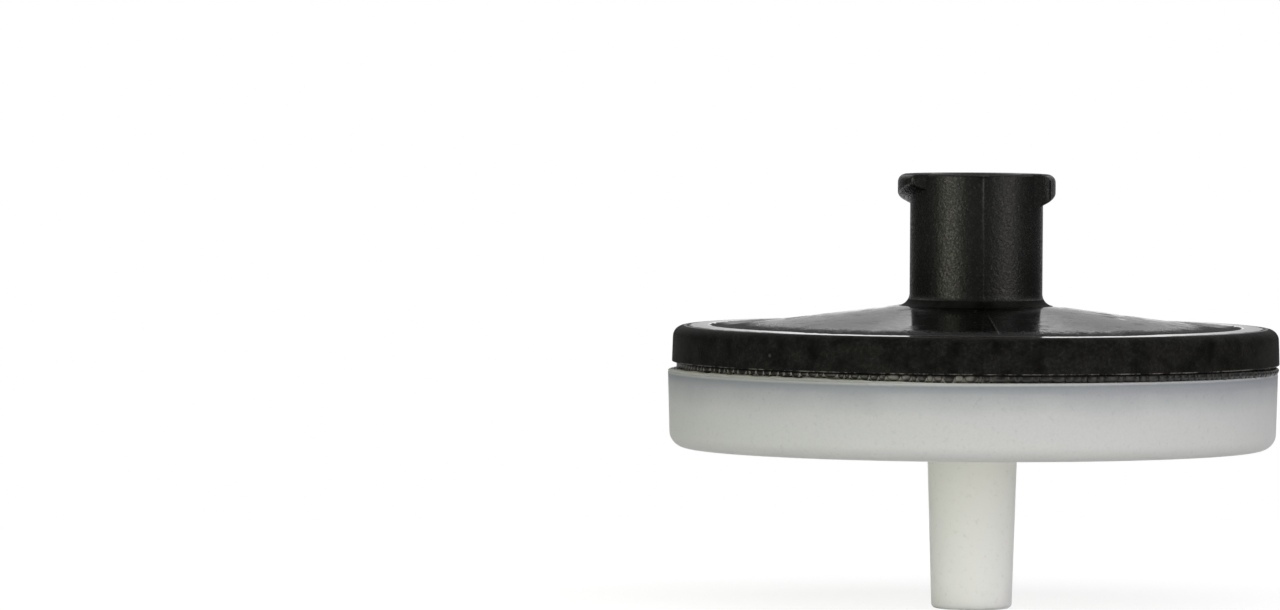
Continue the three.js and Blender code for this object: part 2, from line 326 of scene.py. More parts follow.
def lofted(name, loops):
    """A closed body through equal-sized closed loops, capped at both ends."""
    count = len(loops[0])
    vertices = [point for loop in loops for point in loop]
    faces = [tuple(reversed(range(count))), tuple(range((len(loops) - 1) * count, len(loops) * count))]
    for base in range(0, (len(loops) - 1) * count, count):
        for k in range(count):
            following = (k + 1) % count
            faces.append((base + k, base + following, base + count + following, base + count + k))
    body = object_from(name, vertices, faces)
    outward(body)
    return body


def outward(body):
    """Turns every face of a closed body to point out."""
    shape = bmesh.new()
    shape.from_mesh(body.data)
    bmesh.ops.recalc_face_normals(shape, faces=shape.faces)
    shape.to_mesh(body.data)
    shape.free()


def joined(name, bodies):
    """One object holding all the bodies' faces."""
    shape = bmesh.new()
    for body in bodies:
        shape.from_mesh(body.data)
        bpy.data.objects.remove(body)
    return object_of(name, shape)


def ring(make, count, start):
    """Copies of what make() builds, turned about Z and evenly spaced from the start azimuth."""
    bodies = [make() for _ in range(count)]
    for k, body in enumerate(bodies):
        body.data.transform(Matrix.Rotation(start + 2 * math.pi * k / count, 4, "Z"))
    return bodies


def combine(body, tool, operation):
    """Joins the tool to the body or cuts it from the body."""
    modifier = body.modifiers.new("combine", "BOOLEAN")
    modifier.object = tool
    modifier.operation = operation
    modifier.solver = "MANIFOLD"
    graph = bpy.context.evaluated_depsgraph_get()
    mesh = bpy.data.meshes.new_from_object(body.evaluated_get(graph))
    body.modifiers.clear()
    body.data = mesh
    bpy.data.objects.remove(tool)


# ---------------------------------------------------------------- inlet half

def lug():
    """One thread lug on the +X side: a flat-topped ear whose lower flank follows a right-hand helix."""
    root_radius = HUB_RADIUS - LUG_ROOT_DEPTH
    corner_start = LUG_HALF_WIDTH - LUG_CORNER_FILLET

    def reach_at(y):
        into_corner = max(abs(y) - corner_start, 0)
        arc = math.sqrt(LUG_REACH ** 2 - min(abs(y), corner_start) ** 2)
        return arc - LUG_CORNER_FILLET + math.sqrt(LUG_CORNER_FILLET ** 2 - into_corner ** 2)

    def flank_at(x, y):
        helix = THREAD_LEAD * math.atan2(y, x) / (2 * math.pi)
        rise = max(math.hypot(x, y) - HUB_RADIUS, 0) * math.tan(THREAD_FLANK)
        return HUB_TOP - LUG_MEAN_HEIGHT + helix + rise

    def section(y):
        root_x = math.sqrt(root_radius ** 2 - y ** 2)
        wall_x = math.sqrt(HUB_RADIUS ** 2 - y ** 2)
        reach = reach_at(y)
        corners = [
            (root_x, flank_at(root_x, y)),
            (wall_x, flank_at(wall_x, y)),
            (reach, flank_at(reach, y), LUG_TIP_FILLET),
            (reach, LUG_TOP, LUG_EDGE_FILLET),
            (root_x, LUG_TOP),
        ]
        return [(point.x, y, point.y) for point in rounded(corners, LUG_ARC_STEPS)]

    middle = np.linspace(-corner_start, corner_start, LUG_STATIONS)
    corner = corner_start + LUG_CORNER_FILLET * np.sin(LUG_CORNER_TURNS)
    stations = [*(-corner[::-1]), *middle, *corner]
    return lofted("lug", [section(y) for y in stations])


def ellipsoid(name, place, size, turn, tilt=0.0):
    """An ellipsoid tilted about Y, moved to its place and turned about Z."""
    shape = bmesh.new()
    bmesh.ops.create_uvsphere(shape, u_segments=48, v_segments=24, radius=1)
    shape.transform(Matrix.Diagonal((*size, 1)))
    shape.transform(Matrix.Rotation(tilt, 4, "Y"))
    shape.transform(Matrix.Translation(place))
    shape.transform(Matrix.Rotation(turn, 4, "Z"))
    shape.transform(Matrix.Scale(MM, 4))
    return object_of(name, shape)


def dimples():
    """What cuts the row of shallow dimples in the cone."""
    bodies = []
    for y in DIMPLE_ROW:
        radius = math.hypot(DIMPLE_OFFSET, y)
        place = (radius, 0, cone_level(radius) + DIMPLE_CUTTER[2] - DIMPLE_DEPTH)
        turn = math.atan2(y, DIMPLE_OFFSET) + MOULD_TURN
        bodies.append(ellipsoid("dimple", place, DIMPLE_CUTTER, turn, math.atan(CONE_SLOPE)))
    return bodies


def nib():
    """The small bump that the mould's parting left on the hub's top edge."""
    across, deep, high = NIB_SIZE
    place = (HUB_RADIUS, 0, HUB_TOP - high)
    return ellipsoid("nib", place, (deep, across, high), NIB_AZIMUTH)


def prism(name, outline, low, high):
    """An upright prism over a plan outline."""
    return lofted(name, [[(x, y, z) for x, y in outline] for z in (low, high)])


def vane():
    """One vane under the inlet half's roof, on the +X side."""
    inner = BOSS_RADIUS - VANE_ROOT
    outer = CLAMP_INNER_RADIUS - VANE_END_GAP
    bottom = MEMBRANE_TOP + VANE_LIFT
    half = VANE_WIDTH / 2
    buried = ROOF_THICKNESS / 2
    side = [(inner, bottom), (outer, bottom), (outer, cone_level(outer) - buried),
            (inner, cone_level(inner) - buried)]
    return lofted("vane", [[(x, y, z) for x, z in side] for y in (-half, half)])


def web_window():
    """What cuts one window of the web, on the +X side."""
    outer = WEB_RADIUS - WINDOW_EDGE
    half_opening = math.pi / WINDOW_COUNT
    edge = half_opening - math.asin(WEB_ARM_WIDTH / 2 / outer)
    apex = WEB_ARM_WIDTH / 2 / math.sin(half_opening)
    arc = [(outer * math.cos(a), outer * math.sin(a)) for a in np.linspace(-edge, edge, 15)]
    return prism("window", [(apex, 0), *arc], WEB_BOTTOM - 0.5, LUER_BOTTOM + 0.5)


def parting_ridge(radius, height, azimuth):
    """The raised parting line over the cone and, lower, up the hub's side."""
    outside = (radius < PARTING_END_RADIUS) & (radius > HUB_RADIUS - 0.01) & (height > RIM_TOP - 0.2)
    lift = np.zeros(radius.shape)
    for centre in PARTING_AZIMUTHS:
        turn = (azimuth - centre + math.pi) % (2 * math.pi) - math.pi
        across = radius * np.sin(turn)
        near = np.abs(turn) < PARTING_REACH
        ridge = np.exp(-((across / PARTING_WIDTH) ** 2) / 2)
        share = np.where(radius < HUB_RADIUS + 0.2, PARTING_ON_HUB, 1.0)
        lift += np.where(near, ridge * PARTING_HEIGHT * share, 0)
    return lift * outside


def inlet():
    """The black half: housing, hub, lugs, vanes and web as one body."""
    body = turned("inlet_body", [
        (0, WEB_BOTTOM),
        (BOSS_RADIUS, WEB_BOTTOM),
        (BOSS_RADIUS, cone_level(BOSS_RADIUS) - ROOF_THICKNESS),
        (CLAMP_INNER_RADIUS, cone_level(CLAMP_INNER_RADIUS) - ROOF_THICKNESS),
        (CLAMP_INNER_RADIUS, MEMBRANE_TOP),
        (CLAMP_OUTER_RADIUS, MEMBRANE_TOP),
        (CLAMP_OUTER_RADIUS, WELD_LEVEL),
        (NECK_RADIUS, WELD_LEVEL),
        (NECK_RADIUS, RIM_BOTTOM),
        (RIM_RADIUS, RIM_BOTTOM, RIM_EDGE_FILLET),
        (RIM_RADIUS - (RIM_TOP - RIM_BOTTOM) * math.tan(RIM_DRAFT), RIM_TOP - RIM_FALL, RIM_FILLET),
        (RIM_FLAT_RADIUS, RIM_TOP, RIM_FLAT_FILLET),
        (CONE_FOOT_RADIUS, CONE_FOOT_LEVEL, CONE_FOOT_FILLET),
        (HUB_RADIUS, cone_level(HUB_RADIUS), HUB_FOOT_FILLET),
        (HUB_RADIUS, HUB_TOP, HUB_TOP_FILLET),
        (MOUTH_RADIUS, HUB_TOP, MOUTH_FILLET),
        (WEB_RADIUS, LUER_BOTTOM),
        (0, LUER_BOTTOM),
    ], column_azimuths(PARTING_AZIMUTHS), parting_ridge)
    added = ring(lug, 2, LUG_TURN) + ring(vane, VANE_COUNT, LUG_TURN + math.pi / VANE_COUNT) + [nib()]
    combine(body, joined("added", added), "UNION")
    cut = ring(web_window, WINDOW_COUNT, LUG_TURN) + dimples()
    combine(body, joined("cut", cut), "DIFFERENCE")
    return body


# ---------------------------------------------------------------- outlet half, membrane and weld

def support_rings():
    """Section corners of the rings that carry the membrane, from the outside in."""
    corners = []
    outer = LAND_INNER_RADIUS - (RING_PITCH - RING_WIDTH)
    while outer - RING_WIDTH > DRAIN_RADIUS:
        inner = outer - RING_WIDTH
        corners += [(outer, FLOOR_LEVEL), (outer, SUPPORT_LEVEL)]
        corners += [(inner, SUPPORT_LEVEL), (inner, FLOOR_LEVEL)]
        outer -= RING_PITCH
    return corners


def over_azimuth(stops, azimuth):
    """The value at an azimuth in radians, from (degrees, value) stops."""
    angles, values = zip(*stops)
    return np.interp((np.degrees(azimuth) + 180) % 360 - 180, angles, values)


def weld_lip(radius, height, azimuth):
    """The ledge beside the weld, lifted by the melt along part of its round."""
    ledge = (radius > NECK_RADIUS + FACE_SLANT / 2) & (height > WELD_LEVEL - 0.04)
    ripple = 1 + 0.15 * np.sin(41 * azimuth) + 0.12 * np.sin(97 * azimuth + 1)
    return np.where(ledge, over_azimuth(WELD_LIP, azimuth) * ripple, 0)


def outlet():
    """The white half: disc, tip and what carries the membrane, as one body that is welded a little askew."""
    drain_bottom = FLOOR_LEVEL - DRAIN_DEPTH
    body = turned("outlet_body", [
        (TIP_BORE_RADIUS, TIP_END),
        (TIP_END_RADIUS, TIP_END, TIP_END_FILLET),
        (TIP_END_RADIUS + TIP_TAPER * TIP_LENGTH, DISC_BOTTOM),
        (DISC_RADIUS - (WELD_LEVEL - DISC_BOTTOM) * math.tan(DISC_DRAFT), DISC_BOTTOM, DISC_CORNER_FILLET),
        (DISC_RADIUS, WELD_LEVEL, WELD_EDGE_FILLET),
        (NECK_RADIUS + FACE_SLANT, WELD_LEVEL),
        (NECK_RADIUS, WELD_LEVEL - FACE_SINK),
        (CAVITY_RADIUS + CAVITY_CHAMFER, WELD_LEVEL - FACE_SINK),
        (CAVITY_RADIUS, WELD_LEVEL - CAVITY_CHAMFER),
        (CAVITY_RADIUS, SUPPORT_LEVEL),
        (LAND_INNER_RADIUS, SUPPORT_LEVEL),
        (LAND_INNER_RADIUS, FLOOR_LEVEL),
        *support_rings(),
        (DRAIN_RADIUS, FLOOR_LEVEL),
        (TIP_BORE_RADIUS + TIP_BORE_TAPER * (drain_bottom - TIP_END), drain_bottom),
    ], column_azimuths(), weld_lip)

    def channel():
        half = CHANNEL_WIDTH / 2
        plan = [(DRAIN_RADIUS / 2, -half), (LAND_INNER_RADIUS, -half), (LAND_INNER_RADIUS, half),
                (DRAIN_RADIUS / 2, half)]
        return prism("channel", plan, FLOOR_LEVEL - CHANNEL_DEPTH, SUPPORT_LEVEL + 1)

    for cutter in ring(channel, CHANNEL_COUNT, 0):
        combine(body, cutter, "DIFFERENCE")
    weld = Matrix.Translation((0, 0, WELD_LEVEL * MM))
    body.data.transform(weld @ Matrix.Rotation(WELD_TILT, 4, "Y") @ weld.inverted())
    body.data.transform(Matrix.Translation((-WELD_OFFSET * MM, 0, 0)))
    return body


def membrane_disc():
    return turned("membrane_disc", [
        (0, MEMBRANE_LOW.z),
        (MEMBRANE_RADIUS, MEMBRANE_LOW.z, MEMBRANE_FILLET),
        (MEMBRANE_RADIUS, MEMBRANE_HIGH.z, MEMBRANE_FILLET),
        (0, MEMBRANE_HIGH.z),
    ], column_azimuths())


# Weld bead, over the azimuth in degrees: how far it stands out of the neck, how far its underside hangs
# below the ledge's lip, and how far its top stays below the rim
BEAD_REACH = ((-180, 0.02), (-167, 0.04), (-155, 0.10), (-120, 0.15), (-95, 0.19), (-60, 0.20), (-40, 0.22),
              (-15, 0.26), (0, 0.26), (30, 0.22), (60, 0.2), (150, 0.10), (180, 0.02))
BEAD_SAG = ((-180, 0.0), (-95, 0.0), (-60, 0.02), (-42, 0.05), (0, 0.06), (60, 0.0), (180, 0.0))
BEAD_DROP = ((-180, -0.01), (-30, -0.01), (-12, 0.1), (12, 0.1), (30, -0.01), (180, -0.01))
BEAD_ROOT_RADIUS = NECK_RADIUS - 0.02
BEAD_COLUMNS = 3200
BEAD_SECTION = 20
DROP_PITCH = 0.46
DROP_SCATTER = 0.4  # how far a drop's end strays, as a share of the pitch
DROP_SAG = 0.04  # at most, down or up
DROP_NOTCH = 0.08  # how much higher the underside is between two drops
GAP_HEIGHT = 0.16  # how far up the white half's material fills the gap between two drops ...
GAP_FLOOR = 0.03  # ... and how far at least
GAP_SOFTNESS = 0.03


def drops(azimuth):
    """The chain of drops at each azimuth: the place along its drop, from -1 to 1, how far the drop has
    swollen there, from 0 to 1, its size and its sag."""
    chance = random.Random(7)
    count = round(2 * math.pi * BEAD_ROOT_RADIUS / DROP_PITCH)
    strays = [chance.uniform(-DROP_SCATTER, DROP_SCATTER) for _ in range(count)]
    ends = (np.arange(count) + strays) / count * 2 * math.pi
    index = np.searchsorted(ends, azimuth) % count
    start, length = ends[index - 1], (ends[index] - ends[index - 1]) % (2 * math.pi)
    along = 2 * ((azimuth - start) % (2 * math.pi)) / length - 1
    swell = np.sqrt(np.clip(1 - np.abs(along) ** 2.4, 0, 1))
    size = np.array([chance.uniform(0.6, 1.0) for _ in range(count)])[index]
    sag = np.array([chance.uniform(-DROP_SAG, DROP_SAG) for _ in range(count)])[index]
    return along, swell, size, sag


def weld_flash():
    """Material squeezed out of the weld: a chain of drops in the groove. The attribute "crown" is 1 on the
    drops' middles, and "gap" is 1 where the white half's material fills up between their undersides."""
    azimuth = np.linspace(0, 2 * math.pi, BEAD_COLUMNS, endpoint=False)
    along, swell, size, sag = drops(azimuth)
    top = RIM_BOTTOM - over_azimuth(BEAD_DROP, azimuth)
    bottom = WELD_LEVEL + over_azimuth(WELD_LIP, azimuth) - over_azimuth(BEAD_SAG, azimuth)
    bottom += (1 - swell) * DROP_NOTCH + sag * swell
    reach = over_azimuth(BEAD_REACH, azimuth) * (0.45 + 0.55 * swell * size)
    around = np.linspace(-math.pi, math.pi, BEAD_SECTION, endpoint=False)[None, :]
    middle, half = (top + bottom)[:, None] / 2, (top - bottom)[:, None] / 2
    outward_share = np.clip(np.cos(around), -0.15, 1)
    radius = BEAD_ROOT_RADIUS + reach[:, None] * outward_share
    level = middle + half * np.sin(around)
    a = azimuth[:, None]
    vertices = np.stack([radius * np.cos(a), radius * np.sin(a), level], axis=2).reshape(-1, 3)
    faces = []
    for k in range(BEAD_COLUMNS):
        here, there = k * BEAD_SECTION, ((k + 1) % BEAD_COLUMNS) * BEAD_SECTION
        for j in range(BEAD_SECTION):
            following = (j + 1) % BEAD_SECTION
            faces.append((here + j, there + j, there + following, here + following))
    body = object_from("weld_flash", vertices, faces)
    crown = np.clip(swell * size, 0, 1)[:, None] * np.clip(np.cos(around), 0, 1)
    filling = GAP_FLOOR + GAP_HEIGHT * np.abs(along) ** 3
    gap = np.clip((filling[:, None] - (level - bottom[:, None])) / GAP_SOFTNESS, 0, 1)
    for name, values in (("crown", crown), ("gap", gap)):
        layer = body.data.attributes.new(name, "FLOAT", "POINT")
        layer.data.foreach_set("value", values.ravel().astype(np.float32))
    return body


# ---------------------------------------------------------------- materials

def put(tree, socket, value):
    """Links an input to another node's socket, or sets it to a value."""
    if isinstance(value, bpy.types.NodeSocket):
        tree.links.new(value, socket)
    else:
        socket.default_value = value


def add_node(tree, kind, **inputs):
    """A new node, with its inputs by name and an underscore for each space."""
    node = tree.nodes.new(kind)
    for name, value in inputs.items():
        put(tree, node.inputs[name.replace("_", " ")], value)
    return node


def operate(node, operation, operands):
    """Sets up a maths or vector node and returns it."""
    node.operation = operation
    for socket, value in zip(node.inputs, operands):
        put(node.id_data, socket, value)
    return node


def number(tree, operation, *operands):
    """The result of a maths node."""
    return operate(tree.nodes.new("ShaderNodeMath"), operation, operands).outputs[0]


def product(tree, first, second):
    return number(tree, "MULTIPLY", first, second)


def ramp(tree, value, stops):
    """A colour over a value, from (value, colour) stops. A colour may be a single number, for a grey."""
    low, high = stops[0][0], stops[-1][0]
    scaled = add_node(tree, "ShaderNodeMapRange", From_Min=low, From_Max=high, Value=value)
    node = tree.nodes.new("ShaderNodeValToRGB")
    tree.links.new(scaled.outputs[0], node.inputs[0])
    elements = node.color_ramp.elements
    while len(elements) < len(stops):
        elements.new(0.5)
    for element, (at, colour) in zip(elements, stops):
        element.position = (at - low) / (high - low)
        element.color = (*colour, 1) if isinstance(colour, tuple) else (colour, colour, colour, 1)
    return node.outputs[0]


class Graph:
    """A material's nodes, built with short calls. Lengths in its maths are millimetres."""

    def __init__(self, name):
        self.material = bpy.data.materials.new(name)
        self.material.use_nodes = True
        self.tree = self.material.node_tree
        self.tree.nodes.clear()
        self.shader = self.add("ShaderNodeBsdfPrincipled")
        output = self.add("ShaderNodeOutputMaterial")
        self.tree.links.new(self.shader.outputs[0], output.inputs["Surface"])
        place = self.add("ShaderNodeTexCoord").outputs["Object"]
        self.place = self.vector("MULTIPLY", place, (1 / MM,) * 3)
        parts = self.add("ShaderNodeSeparateXYZ", Vector=self.place).outputs
        self.x, self.y, self.z = parts
        squares = [self.math("MULTIPLY", side, side) for side in (self.x, self.y)]
        self.radius = self.math("SQRT", self.math("ADD", *squares))
        self.azimuth = self.math("ARCTAN2", self.y, self.x)

    def add(self, kind, **inputs):
        return add_node(self.tree, kind, **inputs)

    def put(self, socket, value):
        put(self.tree, socket, value)

    def math(self, operation, *operands):
        return number(self.tree, operation, *operands)

    def vector(self, operation, *operands):
        return operate(self.add("ShaderNodeVectorMath"), operation, operands).outputs[0]

    def attribute(self, name):
        node = self.add("ShaderNodeAttribute")
        node.attribute_name = name
        return node.outputs["Fac"]

    def noise(self, size, detail=2.0, rough=0.5, stretch=(1, 1, 1), seed=0.0):
        """Noise from 0 to 1 whose lumps are about size millimetres."""
        node = self.add("ShaderNodeTexNoise", Scale=1 / size, Detail=detail, Roughness=rough)
        place = self.vector("ADD", self.vector("MULTIPLY", self.place, stretch), (seed, 2 * seed, 3 * seed))
        self.put(node.inputs["Vector"], place)
        return node.outputs["Fac"]

    def step(self, value, low, high):
        """0 below low and 1 above high, smooth between."""
        node = self.add("ShaderNodeMapRange", From_Min=low, From_Max=high)
        node.interpolation_type = "SMOOTHSTEP"
        self.put(node.inputs["Value"], value)
        return node.outputs["Result"]

    def between(self, value, low, high, soft):
        """1 from low to high and 0 outside, over a soft edge."""
        return self.math("MULTIPLY", self.step(value, low - soft, low + soft),
                         self.step(value, high + soft, high - soft))

    def ease(self, amount, low, high):
        """low + amount * (high - low)."""
        return self.math("MULTIPLY_ADD", amount, high - low, low)

    def blend(self, amount, first, second):
        """A number mixed from two sockets or numbers."""
        node = self.add("ShaderNodeMix")
        for socket, value in zip((node.inputs["Factor"], node.inputs["A"], node.inputs["B"]),
                                 (amount, first, second)):
            self.put(socket, value)
        return node.outputs["Result"]

    def tint(self, amount, first, second, mode="MIX"):
        """A colour mixed from two colours or sockets."""
        node = self.add("ShaderNodeMix")
        node.data_type = "RGBA"
        node.blend_type = mode
        for socket, value in zip((node.inputs[0], node.inputs[6], node.inputs[7]), (amount, first, second)):
            self.put(socket, (*value, 1) if isinstance(value, tuple) else value)
        return node.outputs[2]

    def specks(self, size, share, seed=0.0):
        """Sparse round specks: 1 inside, 0 outside. size is their spacing, share the part of cells that have
        one."""
        node = self.add("ShaderNodeTexVoronoi", Scale=1 / size, Randomness=1.0)
        self.put(node.inputs["Vector"], self.vector("ADD", self.place, (seed, seed, seed)))
        chosen = self.add("ShaderNodeSeparateColor", Color=node.outputs["Color"]).outputs[0]
        reach = self.math("MULTIPLY", self.step(chosen, 1 - share, 1.0), 0.22)
        return self.math("MULTIPLY", self.step(node.outputs["Distance"], reach, 0.0),
                         self.math("GREATER_THAN", chosen, 1 - share))

    def bump(self, *layers):
        """Stacked relief. Each layer is (height socket from 0 to 1, depth in millimetres)."""
        normal = None
        for height, depth in layers:
            node = self.add("ShaderNodeBump", Strength=1.0, Distance=depth * MM, Height=height)
            if normal:
                self.put(node.inputs["Normal"], normal)
            normal = node.outputs[0]
        self.put(self.shader.inputs["Normal"], normal)

    def finish(self, **inputs):
        for name, value in inputs.items():
            self.put(self.shader.inputs[name.replace("_", " ")], value)
        return self.material


def parting_line(g):
    """1 on the crest of the parting line, with gaps, where a highlight is painted."""
    marks = []
    for centre in PARTING_AZIMUTHS:
        turn = g.math("WRAP", g.math("SUBTRACT", g.azimuth, centre), math.pi, -math.pi)
        across = g.math("ABSOLUTE", g.math("MULTIPLY", g.radius, turn))
        marks.append(g.step(across, PARTING_WIDTH, PARTING_WIDTH * 0.4))
    whole = g.step(g.noise(0.5, detail=3, rough=0.6, seed=51), 0.35, 0.5)
    inside = g.step(g.radius, PARTING_END_RADIUS + 0.1, PARTING_END_RADIUS - 0.1)
    return g.math("MULTIPLY", g.math("MULTIPLY", g.math("MAXIMUM", *marks), whole), inside)


def spark_black():
    """Spark-eroded matt black: hub, lugs and everything inside, with painted glints."""
    g = Graph("spark_black")
    grain = g.noise(0.10, detail=3, rough=0.6)
    coarse = g.noise(0.22, detail=2, seed=4)
    mottle = g.noise(0.8, detail=3, seed=9)
    dust = g.specks(0.9, 0.05)
    colour = g.tint(mottle, (0.002, 0.002, 0.0017), (0.005, 0.005, 0.0043))
    colour = g.tint(g.math("MULTIPLY", dust, 0.5), colour, (0.10, 0.10, 0.085))
    sparkle = g.noise(0.12, detail=3, rough=0.7, seed=31)
    # painted glints: a lighter colour on the same spots that the sparkle makes glossier
    painted_glints = g.step(sparkle, 0.56, 0.66)
    colour = g.tint(g.math("MULTIPLY", painted_glints, 0.5), colour, (0.035, 0.035, 0.029))
    # painted highlight: the parting line's crest is lighter up the hub
    crest = g.math("MULTIPLY", parting_line(g), g.step(g.z, HUB_TOP - 4.0, HUB_TOP - 0.5))
    colour = g.tint(g.math("MULTIPLY", crest, 0.6), colour, (0.06, 0.058, 0.05))
    g.bump((grain, 0.022), (coarse, 0.018))
    rough = g.ease(g.step(sparkle, 0.35, 0.65), 0.44, 0.22)
    return g.finish(Base_Color=colour, Roughness=rough, IOR=1.37)


def rim_black():
    """The rim's side and rounding and the hub's foot: the same texture, duller, with scuffs on the rim."""
    g = Graph("rim_black")
    grain = g.noise(0.10, detail=3, rough=0.65, seed=21)
    mottle = g.noise(1.1, detail=4, rough=0.65, seed=15)
    dust = g.specks(0.8, 0.10, seed=17)
    scuffs = g.step(g.noise(0.18, detail=5, rough=0.85, seed=25), 0.40, 0.80)
    scuffs = g.math("MULTIPLY", scuffs, g.step(mottle, 0.3, 0.65))
    scuffs = g.math("MULTIPLY", scuffs, g.step(g.radius, 5, 6))
    colour = g.tint(g.step(mottle, 0.2, 0.8), (0.0008, 0.0008, 0.0006), (0.0080, 0.0078, 0.0068))
    colour = g.tint(scuffs, colour, (0.024, 0.0235, 0.0205))
    colour = g.tint(g.math("MULTIPLY", dust, 0.5), colour, (0.09, 0.09, 0.078))
    # painted highlight: a light colour along patches of the rim's bottom edge
    highlight_patches = g.step(g.noise(1.3, detail=5, rough=0.8, stretch=(1, 1, 0), seed=43), 0.44, 0.60)
    painted_edge_highlight = g.math("MULTIPLY", g.step(g.z, RIM_BOTTOM + 0.065, RIM_BOTTOM + 0.035), highlight_patches)
    colour = g.tint(painted_edge_highlight, colour, (0.13, 0.125, 0.11))
    g.bump((grain, 0.03))
    return g.finish(Base_Color=colour, Roughness=g.ease(grain, 0.50, 0.64), IOR=1.13)


def cone_black():
    """The inlet half's cone: glossy, slightly clouded, and sanded in a ragged ring at its foot."""
    g = Graph("cone_black")
    fine_noise = g.noise(0.11, detail=3, rough=0.6)
    cloud = g.noise(0.9, detail=5, rough=0.75, stretch=(1, 0.5, 1), seed=6)
    sanded = g.math("ADD", g.radius, g.math("ADD", g.ease(fine_noise, -1.2, 1.2), g.ease(cloud, -0.7, 0.7)))
    annulus = g.step(sanded, SANDED_START, SANDED_END)
    clouded = g.step(cloud, 0.35, 0.65)
    pits = g.math("MULTIPLY", g.specks(0.45, 0.35, seed=8), g.step(g.radius, 6.0, 10.5))
    wisps = g.step(g.noise(0.7, detail=5, rough=0.7, stretch=(0.4, 1, 1), seed=27), 0.50, 0.72)
    dust = g.specks(0.6, 0.14, seed=3)
    # painted highlight on the parting line's crest, lighter behind the hub than in front
    painted_crest_highlight = g.tint(g.step(g.y, -1, 1), (0.05, 0.048, 0.04), (0.16, 0.155, 0.135))
    colour = g.tint(clouded, (0.0005, 0.0005, 0.0004), (0.0016, 0.0016, 0.0014))
    colour = g.tint(annulus, colour, (0.008, 0.008, 0.0075))
    colour = g.tint(g.math("MULTIPLY", dust, 0.5), colour, (0.16, 0.16, 0.14))
    colour = g.tint(g.math("MULTIPLY", parting_line(g), g.step(g.radius, 5.5, 9.0)), colour, painted_crest_highlight)
    rough = g.ease(clouded, 0.04, 0.19)
    rough = g.math("ADD", rough, g.math("MULTIPLY", wisps, 0.24))
    rough = g.math("ADD", rough, g.math("MULTIPLY", pits, 0.5))
    rough = g.blend(annulus, rough, 0.64)
    g.bump(
        (g.math("MULTIPLY", fine_noise, annulus), 0.05),
        (g.noise(0.35, detail=3, seed=5), 0.003),
        (g.noise(0.9, detail=2, seed=15), 0.004),
        (dust, 0.006),
    )
    return g.finish(Base_Color=colour, Roughness=rough, IOR=1.21)


def burnished_black():
    """The rim's flat, which the horn burnished, in a ring that is narrower in front. Inside it is the
    shallow dip, matt but for its far side, and outside it the start of the rounding. The hub's top face is
    like the dip."""
    g = Graph("burnished_black")
    edge_noise = g.ease(g.noise(0.5, detail=4, rough=0.7, seed=2), -0.35, 0.35)
    fine_noise = g.noise(0.11, detail=3, rough=0.6)
    backward = g.math("DIVIDE", g.y, g.radius)
    front = g.step(backward, -0.70, -0.87)
    matt = g.step(backward, 0.32, 0.12)
    ragged = g.math("ADD", g.radius, edge_noise)
    ragged = g.math("SUBTRACT", ragged, g.math("MULTIPLY", front, BURNISHED_NARROWING))
    burnished = g.between(ragged, BURNISHED_START, BURNISHED_END, 0.06)
    rounding = g.step(g.radius, ROUNDING_START, ROUNDING_START + 0.15)
    dust = g.specks(0.8, 0.10, seed=3)
    colour = g.tint(burnished, (0.006, 0.006, 0.0052), (0.018, 0.013, 0.009))
    colour = g.tint(rounding, colour, (0.014, 0.012, 0.010))
    colour = g.tint(g.math("MULTIPLY", dust, 0.55), colour, (0.16, 0.16, 0.14))
    rough = g.blend(matt, g.ease(fine_noise, 0.2, 0.5), 0.85)
    rough = g.blend(burnished, rough, 0.09)
    rough = g.blend(rounding, rough, 0.36)
    coarse = g.math("MAXIMUM", rounding, g.math("SUBTRACT", matt, burnished))
    g.bump((g.math("MULTIPLY", fine_noise, coarse), 0.03), (g.noise(0.35, detail=3, seed=5), 0.004))
    return g.finish(Base_Color=colour, Roughness=rough, IOR=1.49)


# Colour of the outlet half's side over the depth below its weld face
# the lighter strip from about 0 to 0.15 below the face, on the rounded weld edge, is painted light
WALL_COLOURS = (
    (-0.14, (0.16, 0.155, 0.125)),
    (-0.06, (0.25, 0.25, 0.215)),
    (0.02, (0.31, 0.315, 0.29)),
    (0.10, (0.35, 0.36, 0.345)),
    (0.15, (0.29, 0.303, 0.305)),
    (0.21, (0.22, 0.234, 0.247)),
    (0.60, (0.335, 0.345, 0.35)),
    (1.10, (0.405, 0.414, 0.41)),
    (1.60, (0.473, 0.478, 0.468)),
    (2.10, (0.498, 0.503, 0.49)),
    (3.10, (0.518, 0.522, 0.505)),
)


